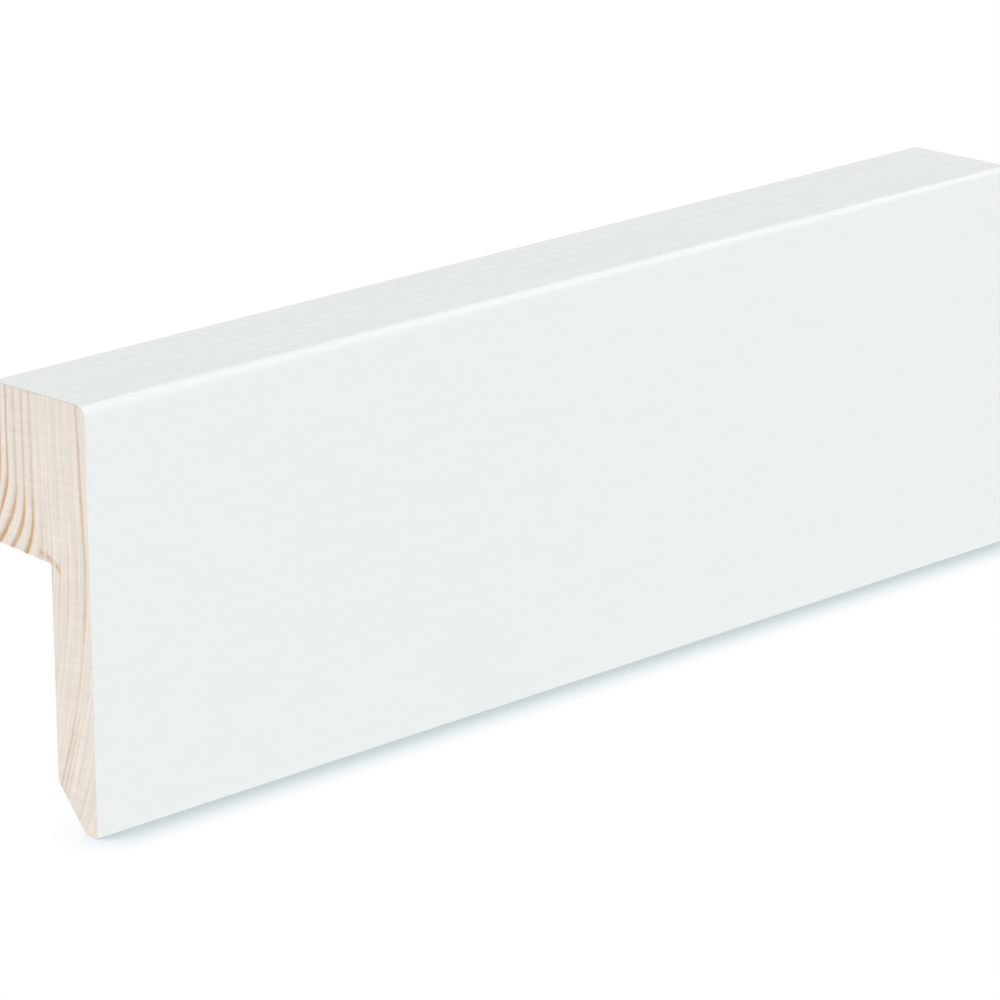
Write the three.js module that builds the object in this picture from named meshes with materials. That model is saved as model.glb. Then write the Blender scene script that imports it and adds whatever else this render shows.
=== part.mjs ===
// A cover skirting board: one length of solid pine, planed to an L-shaped section.
// Its thick upper part is fixed to the wall, and the thin leaf below hangs in front of an
// older skirting, which stands in the rebate behind it.
// Millimetres, +Z up. X runs along the board, -Y is the room and +Y is the wall.
// The origin is the middle of the wall face, the flat back of the thick upper part.
import * as THREE from "three";

// The board
const LENGTH = 216;
const HEIGHT = 70;
const DEPTH = 22;

// The rebate behind the leaf, whose ceiling rises a little towards the wall
const LEAF = 9;
const CEILING_AT_LEAF = 43;
const CEILING_AT_WALL = 44;

// The foot: a narrow flat on the floor, with a bevel behind it
const FOOT = 2.6;
const BEVEL_HEIGHT = 7.5;

// Edges: the rounded top edge that faces the room, and the arrises that the cutters leave
const TOP_EDGE_RADIUS = 1.6;
const ARRIS_RADIUS = 0.4;
const CUTTER_TIP_RADIUS = 0.6;
const ARC_SEGMENTS = 3;

// Places that follow from the sizes, with the wall face's middle at zero
const FLOOR = -(CEILING_AT_WALL + HEIGHT) / 2;
const TOP = FLOOR + HEIGHT;
const FRONT = -DEPTH;
const LEAF_BACK = FRONT + LEAF;
const WALL = 0;

// One corner of the section, as (y, z), and the radius that rounds it.
function corner(y, z, radius) {
  return { at: new THREE.Vector2(y, z), radius };
}

// The section, anticlockwise from the foot's front edge, seen along the board.
function sectionCorners() {
  return [
    corner(FRONT, FLOOR, ARRIS_RADIUS),
    corner(FRONT + FOOT, FLOOR, ARRIS_RADIUS),
    corner(LEAF_BACK, FLOOR + BEVEL_HEIGHT, ARRIS_RADIUS),
    corner(LEAF_BACK, FLOOR + CEILING_AT_LEAF, CUTTER_TIP_RADIUS),
    corner(WALL, FLOOR + CEILING_AT_WALL, ARRIS_RADIUS),
    corner(WALL, TOP, ARRIS_RADIUS),
    corner(FRONT, TOP, TOP_EDGE_RADIUS),
  ];
}

// A closed outline in which every corner is an arc that runs smoothly into both edges.
function roundedShape(corners) {
  const shape = new THREE.Shape();
  corners.forEach(({ at, radius }, i) => {
    const before = corners.at(i - 1).at.clone().sub(at).normalize();
    const after = corners[(i + 1) % corners.length].at.clone().sub(at).normalize();
    const halfAngle = before.angleTo(after) / 2;
    const setback = radius / Math.tan(halfAngle);
    const inwards = before.clone().add(after).setLength(radius / Math.sin(halfAngle));
    const centre = at.clone().add(inwards);
    const start = at.clone().addScaledVector(before, setback).sub(centre);
    const end = at.clone().addScaledVector(after, setback).sub(centre);
    const hollow = before.cross(after) > 0;
    shape.absarc(centre.x, centre.y, radius, start.angle(), end.angle(), hollow);
  });
  shape.closePath();
  return shape;
}

// The board: the section drawn out along X, with both ends cut square.
function skirtingBoard() {
  const geometry = new THREE.ExtrudeGeometry(roundedShape(sectionCorners()), {
    depth: LENGTH,
    bevelEnabled: false,
    curveSegments: ARC_SEGMENTS,
  });
  const whiteLacquer = new THREE.MeshStandardMaterial({ color: 0xecf1ed, roughness: 0.35, metalness: 0 });
  const board = new THREE.Mesh(geometry, whiteLacquer);
  board.name = "skirting_board";
  board.rotation.set(0, Math.PI / 2, Math.PI / 2);
  board.position.x = -LENGTH / 2;
  return board;
}

const coverSkirting = new THREE.Group();
coverSkirting.add(skirtingBoard());

export default coverSkirting;
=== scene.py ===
import math

import bmesh
import bpy
from mathutils import Euler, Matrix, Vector, noise


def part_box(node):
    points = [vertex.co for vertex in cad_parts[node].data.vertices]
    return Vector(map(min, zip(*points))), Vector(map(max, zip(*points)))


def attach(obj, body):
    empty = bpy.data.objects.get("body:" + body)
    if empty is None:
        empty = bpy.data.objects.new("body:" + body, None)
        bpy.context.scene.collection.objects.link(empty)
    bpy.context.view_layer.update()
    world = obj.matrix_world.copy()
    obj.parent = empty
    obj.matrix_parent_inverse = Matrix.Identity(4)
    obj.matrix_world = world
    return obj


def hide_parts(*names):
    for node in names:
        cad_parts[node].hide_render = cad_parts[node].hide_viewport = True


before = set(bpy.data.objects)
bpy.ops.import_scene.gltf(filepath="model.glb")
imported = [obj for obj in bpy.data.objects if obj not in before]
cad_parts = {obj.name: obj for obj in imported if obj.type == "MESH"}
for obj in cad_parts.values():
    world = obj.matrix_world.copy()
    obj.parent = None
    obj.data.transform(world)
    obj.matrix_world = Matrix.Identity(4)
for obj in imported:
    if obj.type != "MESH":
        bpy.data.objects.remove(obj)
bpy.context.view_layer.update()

# The board is one length of solid pine, planed to an L-shaped section with rounded arrises.
# The thick upper part lies against the wall, and the leaf below it hangs in front of an older
# skirting. The foot is bevelled behind a narrow flat, and both ends are crosscut square.
MM = 0.001
low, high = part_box("skirting_board")
length = high.x - low.x
LEAF = 9 * MM
CEILING_AT_LEAF = 43 * MM
CEILING_AT_WALL = 44 * MM
FOOT = 2.6 * MM
BEVEL_HEIGHT = 7.5 * MM
TOP_EDGE_RADIUS = 1.6 * MM
CUTTER_TIP_RADIUS = 0.6 * MM
ARRIS_RADIUS = 0.4 * MM
ARRIS_SEGMENTS = 6
SAME_PLACE = 0.001 * MM

section = (
    (low.y, low.z, ARRIS_RADIUS),
    (low.y + FOOT, low.z, ARRIS_RADIUS),
    (low.y + LEAF, low.z + BEVEL_HEIGHT, ARRIS_RADIUS),
    (low.y + LEAF, low.z + CEILING_AT_LEAF, CUTTER_TIP_RADIUS),
    (high.y, low.z + CEILING_AT_WALL, ARRIS_RADIUS),
    (high.y, high.z, ARRIS_RADIUS),
    (low.y, high.z, TOP_EDGE_RADIUS),
)
board = bmesh.new()
sawn_end = board.faces.new([board.verts.new((low.x, y, z)) for y, z, radius in section])
drawn_out = bmesh.ops.extrude_face_region(board, geom=[sawn_end])["geom"]
far_corners = [part for part in drawn_out if isinstance(part, bmesh.types.BMVert)]
bmesh.ops.translate(board, verts=far_corners, vec=(length, 0, 0))
bmesh.ops.recalc_face_normals(board, faces=board.faces)


def round_over(edges, radius, segments):
    """Eases edges of the board with an arc."""
    bmesh.ops.bevel(
        board, geom=edges, offset=radius, offset_type="OFFSET", affect="EDGES",
        segments=segments, profile=0.5, material=-1,
    )


for y, z, radius in section:
    corner = Vector((y, z))
    at_corner = [e for e in board.edges if all((v.co.yz - corner).length < SAME_PLACE for v in e.verts)]
    round_over(at_corner, radius, ARRIS_SEGMENTS)


def run_along(edge):
    """How far an edge runs along the board."""
    return abs(edge.verts[0].co.x - edge.verts[1].co.x)


# The saw leaves a fine broken arris round both ends.
SAWN_ARRIS = 0.15 * MM
SAWN_SEGMENTS = 2
around_ends = [edge for edge in board.edges if run_along(edge) < SAME_PLACE]
round_over(around_ends, SAWN_ARRIS, SAWN_SEGMENTS)

# Rows of small faces carry the relief of the grain. A narrow strip of faces next to each end
# keeps the long faces flat up to the saw's arris.
ROW = 0.5 * MM
END_STRIP = 0.5 * MM
STEP_ALONG = 1.5 * MM
ON_ROW = 0.03 * MM
LENGTHWISE = Vector((1, 0, 0))
DEPTHWISE = Vector((0, 1, 0))
UPRIGHT = Vector((0, 0, 1))


def divide_faces(side, place):
    """Divides the board's faces at a plane square to a side, so far from the origin."""
    bmesh.ops.bisect_plane(
        board, geom=board.verts[:] + board.edges[:] + board.faces[:], dist=ON_ROW,
        plane_co=side * place, plane_no=side,
    )


for side, first, last in ((DEPTHWISE, low.y, high.y), (UPRIGHT, low.z, high.z)):
    for row in range(1, round((last - first) / ROW)):
        divide_faces(side, first + row * ROW)
divide_faces(LENGTHWISE, low.x + END_STRIP)
divide_faces(LENGTHWISE, high.x - END_STRIP)
from_end_to_end = [edge for edge in board.edges if run_along(edge) > length / 2]
bmesh.ops.subdivide_edges(board, edges=from_end_to_end, cuts=round(length / STEP_ALONG) - 1)


def smooth_step(start, stop, value):
    """0 at start and 1 at stop, eased between them and level past them. Either may be the lower."""
    share = min(1, max(0, (value - start) / (stop - start)))
    return share * share * (3 - 2 * share)


# The long top edge was sanded by hand, a little fuller towards the near end.
NEAR_FULLNESS = 1.4
FAR_FULLNESS = 0.78
SANDED_REACH = 5 * MM
for vert in board.verts:
    inset = vert.co.y - low.y
    drop = high.z - vert.co.z
    fullness = NEAR_FULLNESS + (FAR_FULLNESS - NEAR_FULLNESS) * (vert.co.x - low.x) / length
    unsanded = smooth_step(TOP_EDGE_RADIUS, SANDED_REACH, max(inset, drop))
    grown = fullness + (1 - fullness) * unsanded
    vert.co.y = low.y + inset * grown
    vert.co.z = high.z - drop * grown

# The growth rings run along the board. The heart of the tree lay behind the wall side, so the
# rings count from there towards the room. They bend back to the wall round the rebate's corner
# and again in the leaf, fan out a little towards the top, and taper with the tree. They are
# measured in millimetres, along from the near end, deep from the front and up from the foot.
RING_WIDTH = 1.99
FIRST_RING = 18.25
LEAF_TURN = 46
LEAF_BEND = 0.0048
CORNER_TURN = 37.8
CORNER_BEND = 0.042
CORNER_DEPTHS = (9, 13)
FAN = 0.05
FAN_MIDDLE = 18
BACK_TILT = 0.11
BACK_DEPTHS = (19.5, 22)


def straightened(depth, height):
    """How far behind the front a ring would lie if it ran straight up."""
    in_leaf = LEAF_BEND * max(0, LEAF_TURN - height) ** 2
    lean = FAN * (1 - depth / FAN_MIDDLE) - BACK_TILT * smooth_step(*BACK_DEPTHS, depth)
    fanned = max(0, height - LEAF_TURN) * lean
    below_turn = max(0, depth + CORNER_TURN - height)
    arc = (math.sqrt(1 + 4 * CORNER_BEND * below_turn) - 1) / (2 * CORNER_BEND)
    round_corner = smooth_step(*CORNER_DEPTHS, depth) * CORNER_BEND * arc ** 2
    return depth - in_leaf - fanned - round_corner


# The rings quiver all along the board, and stray the more the further they are from the near end.
TAPER = 0.012
STRAY = 2.0
STRAY_SPANS = (95, 30, 45)
STRAY_GROWTH = (0, 70)
QUIVER = 0.16
QUIVER_SPANS = (40, 4, 9)


def wander(along, depth, height):
    """How far the rings stray from a straight run along the board."""
    slow, quick = [
        noise.noise([at / span for at, span in zip((along, depth, height), spans)])
        for spans in (STRAY_SPANS, QUIVER_SPANS)
    ]
    return STRAY * slow * smooth_step(*STRAY_GROWTH, along) + TAPER * along + QUIVER * quick


# Where the late wood is dark: in one outer ring, in the rings at the back and by the heart,
# above the rebate, and faintly in the upper leaf. Each pair is where a change starts and stops.
PALEST = 0.06
DARKEST = 0.8
OUTER_DARK = 0.35
OUTER_RING = ((0.2, 0.7), (2.8, 2.0))
OUTER_LOSS = 0.2
OUTER_LOSS_HEIGHTS = ((15, 21), (36, 31))
BACK_DARK = 0.24
BACK_RINGS = (11, 12.4)
HEART_DARK = 0.1
HEART_RINGS = (17, 18.6)
LOW_HEART_DARK = 0.2
LOW_HEART_HEIGHTS = (66, 54)
REBATE_DARK = 0.58
REBATE_RINGS = (10.5, 12.5)
REBATE_HEIGHTS = (57, 45)
LEAF_DARK = 0.11
LEAF_HEIGHTS = ((30, 36), (48, 44))


def band(rise, fall, value):
    """1 from the end of a rise to the start of a fall, eased to 0 at both sides."""
    return smooth_step(*rise, value) * smooth_step(*fall, value)


def resin(straight, height):
    """How dark the late wood of a ring is, from 0 to 1."""
    outer = band(*OUTER_RING, straight) * (OUTER_DARK - OUTER_LOSS * band(*OUTER_LOSS_HEIGHTS, height))
    back = BACK_DARK * smooth_step(*BACK_RINGS, straight)
    heart = HEART_DARK + LOW_HEART_DARK * smooth_step(*LOW_HEART_HEIGHTS, height)
    by_heart = heart * smooth_step(*HEART_RINGS, straight)
    by_rebate = REBATE_DARK * smooth_step(*REBATE_RINGS, straight) * smooth_step(*REBATE_HEIGHTS, height)
    in_leaf = LEAF_DARK * band(*LEAF_HEIGHTS, height)
    return PALEST + min(DARKEST, max(outer, back + by_heart + by_rebate, in_leaf))


# False rings lie between the true ones, and one is clear beside the outer ring at the leaf's foot.
FALSE_DARK = 0.05
CLEAR_DARK = 0.42
CLEAR_RING = ((-1.1, -0.7), (0.2, -0.1))
CLEAR_HEIGHTS = (22, 14)


def false_ring(straight, height):
    """How dark a false ring is, from 0 to 1."""
    return FALSE_DARK + CLEAR_DARK * smooth_step(*CLEAR_HEIGHTS, height) * band(*CLEAR_RING, straight)


# On the near end the saw has dragged resin along the rebate's corner, in one dab to each ring.
SMEAR_TURN = 8.3
SMEAR_HEIGHT = 43.5
SMEAR_RISE = 0.33
SMEAR_FALL = 0.85
SMEAR_WIDTH = 0.5
SMEAR_DEPTHS = ((6.2, 6.8), (12.6, 10.5))
SMEAR_ENDS = (5, 2)
DAB_DEPTH = 9.45
DAB_MEAN = 0.58
DAB_SWING = 0.42


def smeared(along, depth, height):
    """How much resin the saw has left, from 0 to 1."""
    past_turn = depth - SMEAR_TURN
    middle = SMEAR_HEIGHT + SMEAR_RISE * max(0, past_turn) - SMEAR_FALL * max(0, -past_turn)
    reach = band(*SMEAR_DEPTHS, depth) * smooth_step(*SMEAR_ENDS, along)
    dabs = DAB_MEAN + DAB_SWING * math.cos(math.tau * (depth - DAB_DEPTH) / RING_WIDTH)
    return reach * dabs * math.exp(-((height - middle) / SMEAR_WIDTH) ** 2)


# The board's corners store the wood's values for the finishes. A face that turns to the room or
# upwards is coated, and the coat is thin on top.
LACQUERED, RAW = 0, 1
COATED_TURN = 0.6
THIN_COAT_TURNS = (0.6, 1)
ring_layer = board.verts.layers.float.new("ring")
resin_layer = board.verts.layers.float.new("resin")
false_ring_layer = board.verts.layers.float.new("false_ring")
smear_layer = board.verts.layers.float.new("smear")
end_grain_layer = board.verts.layers.float.new("end_grain")
thin_coat_layer = board.verts.layers.float.new("thin_coat")
board.normal_update()
for face in board.faces:
    is_coated = max(-face.normal.y, face.normal.z) > COATED_TURN
    face.material_index = LACQUERED if is_coated else RAW
    face.smooth = True
for vert in board.verts:
    along, depth, height = (vert.co - low) / MM
    straight = straightened(depth, height) + wander(along, depth, height)
    vert[ring_layer] = (FIRST_RING - straight) / RING_WIDTH
    vert[resin_layer] = resin(straight, height)
    vert[false_ring_layer] = false_ring(straight, height)
    vert[smear_layer] = smeared(along, depth, height)
    vert[end_grain_layer] = abs(vert.normal.x)
    vert[thin_coat_layer] = smooth_step(*THIN_COAT_TURNS, vert.normal.z)

# The hard late wood stands a little proud on the raw faces.
RIDGE = 0.03 * MM
RIDGE_IN_RING = ((0.4, 0.8), (1, 0.86))
raw_faces = [face for face in board.faces if face.material_index == RAW]
for vert in {vert for face in raw_faces for vert in face.verts}:
    proud = band(*RIDGE_IN_RING, vert[ring_layer] % 1)
    vert.co += vert.normal * RIDGE * proud * vert[resin_layer]


# The raw wood is planed pine on the wall side and crosscut pine on the ends: pale early wood,
# with late wood that darkens to the ring's edge and fine fibres along the board.
def shader_node(tree, kind, inputs=(), **settings):
    """A shader node with its settings, and its sockets set or linked."""
    made = tree.nodes.new(kind)
    for name, value in settings.items():
        setattr(made, name, value)
    for socket, value in dict(inputs).items():
        if isinstance(value, bpy.types.NodeSocket):
            tree.links.new(value, made.inputs[socket])
        else:
            made.inputs[socket].default_value = value
    return made


def ramp(tree, value, stops):
    """A colour ramp on a value, from (place, colour) stops."""
    made = shader_node(tree, "ShaderNodeValToRGB", {"Fac": value})
    steps = made.color_ramp.elements
    while len(steps) < len(stops):
        steps.new(0.5)
    for step, (place, colour) in zip(steps, stops):
        step.position = place
        step.color = (*colour, 1)
    return made.outputs["Color"]


def board_place(tree):
    """The place on the board."""
    return shader_node(tree, "ShaderNodeTexCoord").outputs["Object"]


def stretched_place(tree, along, across, upward):
    """The place on the board, scaled to features per metre along it, across it and up it."""
    return shader_node(
        tree, "ShaderNodeMapping", {"Vector": board_place(tree), "Scale": (along, across, upward)}
    ).outputs["Vector"]


def soft_noise(tree, place):
    """Noise whose features are about one unit wide."""
    return shader_node(
        tree, "ShaderNodeTexNoise", {"Vector": place, "Scale": 1, "Detail": 3}
    ).outputs["Fac"]


def grain_noise(tree, along, across):
    """Noise drawn out along the board, with so many features per metre along it and across it."""
    return soft_noise(tree, stretched_place(tree, along, across, across))


def stored_value(tree, name):
    """A value that the board's corners store."""
    return shader_node(tree, "ShaderNodeAttribute", attribute_name=name).outputs["Fac"]


def eased(tree, value, start, stop):
    """smooth_step as a shader node."""
    return shader_node(
        tree, "ShaderNodeMapRange", {"Value": value, "From Min": start, "From Max": stop},
        interpolation_type="SMOOTHSTEP",
    ).outputs["Result"]


def math_node(tree, operation, first, second=0.0):
    """The result of one sum on two values."""
    return shader_node(tree, "ShaderNodeMath", {0: first, 1: second}, operation=operation).outputs[0]


def plus(tree, first, second):
    """Two values added."""
    return math_node(tree, "ADD", first, second)


def minus(tree, first, second):
    """The first value less the second."""
    return math_node(tree, "SUBTRACT", first, second)


def times(tree, first, second):
    """Two values multiplied."""
    return math_node(tree, "MULTIPLY", first, second)


def bumped(tree, height, distance):
    """The surface's direction under a fine relief, where a height of 1 stands so far out."""
    return shader_node(
        tree, "ShaderNodeBump", {"Height": height, "Distance": distance, "Strength": 1.0}
    ).outputs["Normal"]


def new_material(name):
    """A material, its node tree and its main shader."""
    material = bpy.data.materials.new(name)
    material.use_nodes = True
    tree = material.node_tree
    return material, tree, tree.nodes["Principled BSDF"]


EARLY_WOOD = (0.89, 0.82, 0.766)
LATE_WOOD = (0.78, 0.65, 0.53)
RED_WOOD = (0.705, 0.475, 0.31)
RESIN_WOOD = (0.585, 0.38, 0.19)
RAW_ROUGHNESS = 0.72
raw_pine, tree, surface = new_material("raw_pine")
surface.inputs["Roughness"].default_value = RAW_ROUGHNESS

# Strands of fibre run along the board, in features per metre along and across, and hardly show
# on the end grain. They feather the edges of the rings.
NOISE_MIDDLE = 0.5
STRANDS = (25, 2600)
STRANDS_LOST_ON_ENDS = 0.65
STRANDS_INTO_RINGS = 0.24
WAVER = (40, 900)
WAVER_INTO_RINGS = 0.12
ring = stored_value(tree, "ring")
kept_strands = minus(tree, 1, times(tree, stored_value(tree, "end_grain"), STRANDS_LOST_ON_ENDS))
strands = times(tree, minus(tree, grain_noise(tree, *STRANDS), NOISE_MIDDLE), kept_strands)
waver = times(tree, grain_noise(tree, *WAVER), WAVER_INTO_RINGS)
feathered = plus(tree, waver, times(tree, strands, STRANDS_INTO_RINGS))
counted = plus(tree, ring, feathered)

# Late wood darkens through each ring and stops at its edge, in patches and strands.
LATE_RISE = (0.48, 0.83)
LATE_FALL = (1, 0.9)
PATCHES = (20, 330)
PATCH_FLOOR = 0.4
STRAND_CONTRAST = 1.7
through_ring = math_node(tree, "FRACT", counted)
late = times(tree, eased(tree, through_ring, *LATE_RISE), eased(tree, through_ring, *LATE_FALL))
patches = plus(tree, grain_noise(tree, *PATCHES), PATCH_FLOOR)
patchy = times(tree, stored_value(tree, "resin"), patches)
stranded = plus(tree, times(tree, strands, STRAND_CONTRAST), 1)
late_shade = times(tree, times(tree, late, patchy), stranded)

# False rings, the dragged resin and the strands' own colour add to it.
FALSE_PER_RING = 1.6
FALSE_SHARPNESS = 3
SMEAR_DARK = 0.65
STRAND_SHADE = 0.24
EVEN_SHADE = 0.05
false_rings = math_node(tree, "FRACT", times(tree, counted, FALSE_PER_RING))
sharpened = math_node(tree, "POWER", false_rings, FALSE_SHARPNESS)
faint = times(tree, sharpened, stored_value(tree, "false_ring"))
dragged = times(tree, stored_value(tree, "smear"), SMEAR_DARK)
shade = plus(tree, plus(tree, late_shade, faint), dragged)
streaked = plus(tree, times(tree, strands, STRAND_SHADE), plus(tree, shade, EVEN_SHADE))

# Resin canals run with the grain: fine dots on the sawn ends and short dashes on the long faces.
CANALS = (12, 620, 620)
CANAL_REACH = 0.12
CANAL_DARK = 2
CANAL_DARK_IN_SHADE = 10
cells = shader_node(
    tree, "ShaderNodeTexVoronoi", {"Vector": stretched_place(tree, *CANALS), "Scale": 1}
).outputs["Distance"]
canals = math_node(tree, "MAXIMUM", minus(tree, CANAL_REACH, cells), 0)
resinous = plus(tree, times(tree, shade, CANAL_DARK_IN_SHADE), CANAL_DARK)
flecked = plus(tree, streaked, times(tree, canals, resinous))
wood = ramp(tree, flecked, ((0.0, EARLY_WOOD), (0.3, LATE_WOOD), (0.6, RED_WOOD), (1.0, RESIN_WOOD)))

# Rows of cells follow the rings as fine grey streaks, so many to a ring and to a metre along and
# up, and the saw leaves faint level marks on the ends.
ROWS_PER_RING = 5
ROWS_ALONG = 15
ROWS_UP = 90
ROW_SHADE = 0.32
SAW_MARKS = (30, 140, 1100)
SAW_SHADE = 0.16
UNSHADED = 1.225
axes = shader_node(tree, "ShaderNodeSeparateXYZ", {"Vector": board_place(tree)}).outputs
along_rings = shader_node(tree, "ShaderNodeCombineXYZ", {
    "X": times(tree, ring, ROWS_PER_RING),
    "Y": times(tree, axes["X"], ROWS_ALONG),
    "Z": times(tree, axes["Z"], ROWS_UP),
}).outputs["Vector"]
cell_rows = times(tree, soft_noise(tree, along_rings), ROW_SHADE)
saw_marks = soft_noise(tree, stretched_place(tree, *SAW_MARKS))
tone = minus(tree, UNSHADED, plus(tree, cell_rows, times(tree, saw_marks, SAW_SHADE)))
toned = shader_node(
    tree, "ShaderNodeMix", {"Factor": 1.0, "A": wood, "B": tone}, data_type="RGBA", blend_type="MULTIPLY"
).outputs["Result"]
tree.links.new(toned, surface.inputs["Base Color"])

# Strands, saw marks and the ripple of the planer's cutters can be felt.
CUTTER_PITCH = 1.7 * MM
SAW_RELIEF = 0.5
RIPPLE_RELIEF = 0.1
GRAIN_RELIEF = 0.01 * MM
ripple = math_node(tree, "SINE", times(tree, axes["X"], math.tau / CUTTER_PITCH))
roughened = plus(tree, strands, times(tree, saw_marks, SAW_RELIEF))
relief = plus(tree, roughened, times(tree, ripple, RIPPLE_RELIEF))
tree.links.new(bumped(tree, relief, GRAIN_RELIEF), surface.inputs["Normal"])

# The finish is a white satin lacquer, sprayed on the front and the top and over their arrises.
# It levels out smooth on the front, and on the thinner coat of the top the open grain shows
# through as fine streaks.
LACQUER_PALE = (0.833, 0.862, 0.863)
LACQUER_DEEP = (0.801, 0.828, 0.829)
LACQUER_ROUGHNESS = 0.32
LACQUER_RELIEF = 0.002 * MM
OPEN_GRAIN = (45, 1500)
GRAIN_IN_COAT = 0.5
GRAIN_IN_THIN_COAT = 3.5

white_lacquer, tree, surface = new_material("white_lacquer")
open_grain = minus(tree, grain_noise(tree, *OPEN_GRAIN), NOISE_MIDDLE)
strength = plus(tree, times(tree, stored_value(tree, "thin_coat"), GRAIN_IN_THIN_COAT), GRAIN_IN_COAT)
telegraphed = plus(tree, times(tree, open_grain, strength), NOISE_MIDDLE)
film = ramp(tree, telegraphed, ((0.0, LACQUER_DEEP), (1.0, LACQUER_PALE)))
tree.links.new(film, surface.inputs["Base Color"])
tree.links.new(bumped(tree, telegraphed, LACQUER_RELIEF), surface.inputs["Normal"])
surface.inputs["Roughness"].default_value = LACQUER_ROUGHNESS

mesh = bpy.data.meshes.new("lacquered_pine_board")
board.to_mesh(mesh)
board.free()
mesh.materials.append(white_lacquer)
mesh.materials.append(raw_pine)
lacquered_board = bpy.data.objects.new("lacquered_pine_board", mesh)
bpy.context.scene.collection.objects.link(lacquered_board)
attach(lacquered_board, "root")
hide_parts("skirting_board")

# The table is a plain white sheet that shines evenly, as in a light tent. Near the foot of the board
# a contact shadow is painted into its glow, darker where the board stands close above it. Only
# the camera sees this painted shadow, and the light that the sheet sheds on the board stays white.
TABLE_HALF_WIDTH = 6
WHITE = (1, 1, 1)
BLACK = (0, 0, 0)
SHADE_REACH = 7.5 * MM
SHADE_SAMPLES = 16
CONTACT_SHADE = (0.57, 0.63, 0.65)
FADING_SHADE = (0.825, 0.875, 0.91)
SHADE_LEAN = (-0.1, 0.73, 0.67)

table_top = bmesh.new()
bmesh.ops.create_grid(table_top, x_segments=1, y_segments=1, size=TABLE_HALF_WIDTH)
bmesh.ops.translate(table_top, verts=table_top.verts, vec=(0, 0, low.z))
table_mesh = bpy.data.meshes.new("table")
table_top.to_mesh(table_mesh)
table_top.free()
table = bpy.data.objects.new("table", table_mesh)
bpy.context.scene.collection.objects.link(table)
white_sheet, tree, surface = new_material("white_sheet")
lean = shader_node(tree, "ShaderNodeCombineXYZ", dict(zip("XYZ", SHADE_LEAN))).outputs["Vector"]
# The painted shadow follows how much of a leaning sky the board hides within a few millimetres.
open_sky = shader_node(
    tree, "ShaderNodeAmbientOcclusion", {"Distance": SHADE_REACH, "Normal": lean}, samples=SHADE_SAMPLES
).outputs["AO"]
painted_shadow = ramp(tree, open_sky, ((0.3, CONTACT_SHADE), (0.6, FADING_SHADE), (1.0, WHITE)))
# Camera rays see the painted shadow. All other rays see plain white.
seen = shader_node(tree, "ShaderNodeLightPath").outputs["Is Camera Ray"]
sheet = shader_node(
    tree, "ShaderNodeMix", {"Factor": seen, "A": (*WHITE, 1), "B": painted_shadow}, data_type="RGBA"
).outputs["Result"]
surface.inputs["Base Color"].default_value = (*BLACK, 1)
surface.inputs["Specular IOR Level"].default_value = 0
surface.inputs["Emission Strength"].default_value = 1
tree.links.new(sheet, surface.inputs["Emission Color"])
table_mesh.materials.append(white_sheet)

# The light is an even white tent, a little dimmer overhead. A wide lamp high on the right draws
# the highlight along the rounded top edge, and a weak one on the left lights the near end.
TENT_OVERHEAD = (0.448, 0.476, 0.434)
tent = bpy.data.worlds.new("tent")
tent.use_nodes = True
bpy.context.scene.world = tent
tree = tent.node_tree
direction = shader_node(tree, "ShaderNodeTexCoord").outputs["Generated"]
upward = shader_node(tree, "ShaderNodeSeparateXYZ", {"Vector": direction}).outputs["Z"]
cloth = ramp(tree, upward, ((0.0, WHITE), (1.0, TENT_OVERHEAD)))
tree.links.new(cloth, tree.nodes["Background"].inputs["Color"])


def far_lamp(name, direction, strength, spread):
    """A soft lamp so far away that it lights the whole board alike."""
    lamp = bpy.data.lights.new(name, "SUN")
    lamp.energy = strength
    lamp.angle = math.radians(spread)
    lamp_object = bpy.data.objects.new(name, lamp)
    lamp_object.rotation_euler = Vector(direction).to_track_quat("Z", "Y").to_euler()
    bpy.context.scene.collection.objects.link(lamp_object)


far_lamp("edge_lamp", direction=(0.667, -0.25, 0.65), strength=1.35, spread=60)
far_lamp("end_lamp", direction=(-1, -0.25, 0.35), strength=0.25, spread=40)

# The camera stands in the room to the left of the board and a little above it, far off with a
# long lens.
CAMERA_PLACE = (-0.6329, -0.6466, 0.2445)
CAMERA_TURN = (73.118, 0.497, -44.632)
LENS = 200.36
SENSOR_WIDTH = 36

lens = bpy.data.cameras.new("camera")
lens.lens = LENS
lens.sensor_width = SENSOR_WIDTH
camera = bpy.data.objects.new("camera", lens)
camera.location = CAMERA_PLACE
camera.rotation_euler = Euler([math.radians(turn) for turn in CAMERA_TURN])
bpy.context.scene.collection.objects.link(camera)
bpy.context.scene.camera = camera
bpy.context.scene.view_settings.view_transform = "Standard"
